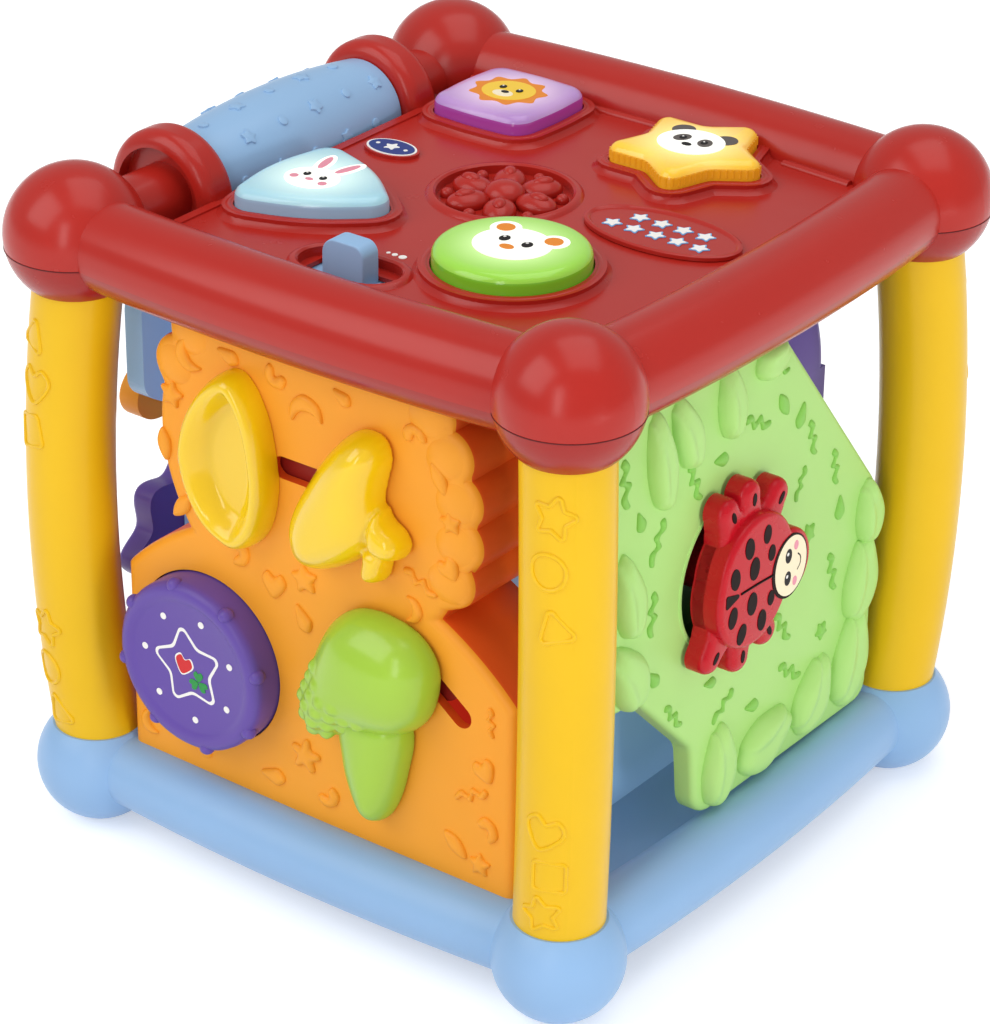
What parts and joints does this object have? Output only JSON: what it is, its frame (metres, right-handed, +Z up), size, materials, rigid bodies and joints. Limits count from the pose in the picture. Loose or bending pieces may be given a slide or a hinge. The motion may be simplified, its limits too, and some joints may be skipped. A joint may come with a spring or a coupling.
{
  "type": "activity cube",
  "caption": "Baby activity cube: red top with light-up push buttons, roller and volume slider, bowed yellow posts, pale-blue base, panels with sliders, drum, wheels and spinners",
  "frame": {"origin": "on the floor, under the middle of the square of corner balls", "axes": "+Z up; -Y is the orange panel with the drum, +X the green panel with the ladybird, -X the side with the roller, +Y the back panel"},
  "size_m": [0.161, 0.161, 0.1585],
  "materials": {
    "red_plastic": "smooth moulded plastic",
    "yellow_plastic": "smooth moulded plastic",
    "pale_blue_plastic": "smooth moulded plastic",
    "orange_plastic": "satin moulded plastic",
    "green_plastic": "satin moulded plastic",
    "purple_plastic": "smooth moulded plastic",
    "roller_blue": "smooth moulded plastic",
    "fruit_yellow": "satin moulded plastic",
    "broccoli_green": "satin moulded plastic",
    "ladybird_red": "glossy moulded plastic",
    "button_green": "translucent moulded plastic",
    "button_lavender": "translucent moulded plastic",
    "button_pale_blue": "translucent moulded plastic",
    "button_yellow": "translucent moulded plastic",
    "dome_rubber": "matt silicone",
    "board_green": "solder mask",
    "emitter_white": "clear resin",
    "speaker_grey": "matt",
    "cell_case": "printed can",
    "wire_red": "cable sleeve",
    "retainer_white": "moulded plastic",
    "bright_steel": "zinc plated"
  },
  "bodies": {
    "frame": {"top_cover": "red_plastic", "top_underframe": "red_plastic", "roller_axle": "bright_steel", "dome_round": "dome_rubber", "dome_square": "dome_rubber", "dome_triangle": "dome_rubber", "dome_star": "dome_rubber", "circuit_board": "board_green", "light_emitters": "emitter_white", "loudspeaker": "speaker_grey", "top_screws": "bright_steel", "post_front_right": "yellow_plastic", "post_front_left": "yellow_plastic", "post_back_right": "yellow_plastic", "post_back_left": "yellow_plastic", "base_tray": "pale_blue_plastic", "base_cover": "pale_blue_plastic", "battery_door": "pale_blue_plastic", "battery_door_screw": "bright_steel", "battery_cells": "cell_case", "battery_contacts": "bright_steel", "base_screws": "bright_steel", "core_column": "pale_blue_plastic", "core_screws": "bright_steel", "lead_wires": "wire_red", "orange_panel": "orange_plastic", "orange_back": "orange_plastic", "fruit_dish": "fruit_yellow", "drum_switch": "speaker_grey", "green_panel": "green_plastic", "ladybird_pin": "bright_steel", "blue_panel": "pale_blue_plastic", "wheel_pins": "bright_steel", "spinner_pin": "bright_steel", "purple_panel": "purple_plastic", "dial_pin": "bright_steel", "panel_screws": "bright_steel"},
    "roller": {"roller": "roller_blue"},
    "round_button": {"button_round": "button_green"},
    "square_button": {"button_square": "button_lavender"},
    "triangle_button": {"button_triangle": "button_pale_blue"},
    "star_button": {"button_star": "button_yellow"},
    "volume": {"volume_slider": "roller_blue"},
    "pear_slide": {"pear": "fruit_yellow", "pear_retainer": "retainer_white"},
    "broccoli_slide": {"broccoli": "broccoli_green", "broccoli_retainer": "retainer_white"},
    "drum": {"drum": "purple_plastic"},
    "ladybird": {"ladybird": "ladybird_red"},
    "purple_wheel": {"purple_wheel": "purple_plastic"},
    "yellow_wheel": {"yellow_wheel": "yellow_plastic"},
    "spinner": {"spinner": "orange_plastic"},
    "dial": {"dial": "yellow_plastic"}
  },
  "joints": [
    {"name": "roller_spin", "type": "hinge", "parent": "frame", "child": "roller", "pos_m": [-0.064, 0, 0.143], "axis": [0, 1, 0], "continuous": true},
    {"name": "round_button_press", "type": "slide", "parent": "frame", "child": "round_button", "axis": [0, 0, -1], "range_m": [0, 0.002], "stiffness_N_per_m": 300, "springref_m": -0.002, "deforming": ["dome_round"]},
    {"name": "square_button_press", "type": "slide", "parent": "frame", "child": "square_button", "axis": [0, 0, -1], "range_m": [0, 0.002], "stiffness_N_per_m": 300, "springref_m": -0.002, "deforming": ["dome_square"]},
    {"name": "triangle_button_press", "type": "slide", "parent": "frame", "child": "triangle_button", "axis": [0, 0, -1], "range_m": [0, 0.002], "stiffness_N_per_m": 300, "springref_m": -0.002, "deforming": ["dome_triangle"]},
    {"name": "star_button_press", "type": "slide", "parent": "frame", "child": "star_button", "axis": [0, 0, -1], "range_m": [0, 0.002], "stiffness_N_per_m": 300, "springref_m": -0.002, "deforming": ["dome_star"]},
    {"name": "volume_travel", "type": "slide", "parent": "frame", "child": "volume", "axis": [-1, 0, 0], "range_m": [-0.004, 0.004]},
    {"name": "pear_travel", "type": "slide", "parent": "frame", "child": "pear_slide", "axis": [-1, 0, 0], "range_m": [0, 0.0055]},
    {"name": "broccoli_travel", "type": "slide", "parent": "frame", "child": "broccoli_slide", "axis": [0.8, 0, -0.6], "range_m": [0, 0.01]},
    {"name": "drum_press", "type": "slide", "parent": "frame", "child": "drum", "axis": [0, 1, 0], "range_m": [0, 0.003], "stiffness_N_per_m": 300, "springref_m": -0.002},
    {"name": "ladybird_spin", "type": "hinge", "parent": "frame", "child": "ladybird", "pos_m": [0.066, -0.0067, 0.0815], "axis": [1, 0, 0], "continuous": true},
    {"name": "purple_wheel_spin", "type": "hinge", "parent": "frame", "child": "purple_wheel", "pos_m": [-0.066, -0.027, 0.055], "axis": [-1, 0, 0], "continuous": true},
    {"name": "yellow_wheel_spin", "type": "hinge", "parent": "frame", "child": "yellow_wheel", "pos_m": [-0.066, 0.014, 0.055], "axis": [-1, 0, 0], "continuous": true},
    {"name": "spinner_spin", "type": "hinge", "parent": "frame", "child": "spinner", "pos_m": [-0.066, -0.027, 0.0985], "axis": [-1, 0, 0], "continuous": true},
    {"name": "dial_spin", "type": "hinge", "parent": "frame", "child": "dial", "pos_m": [0, 0.066, 0.085], "axis": [0, 1, 0], "continuous": true}
  ],
  "couplings": [
    {"joint": "yellow_wheel_spin", "follows": "purple_wheel_spin", "ratio": -1}
  ]
}
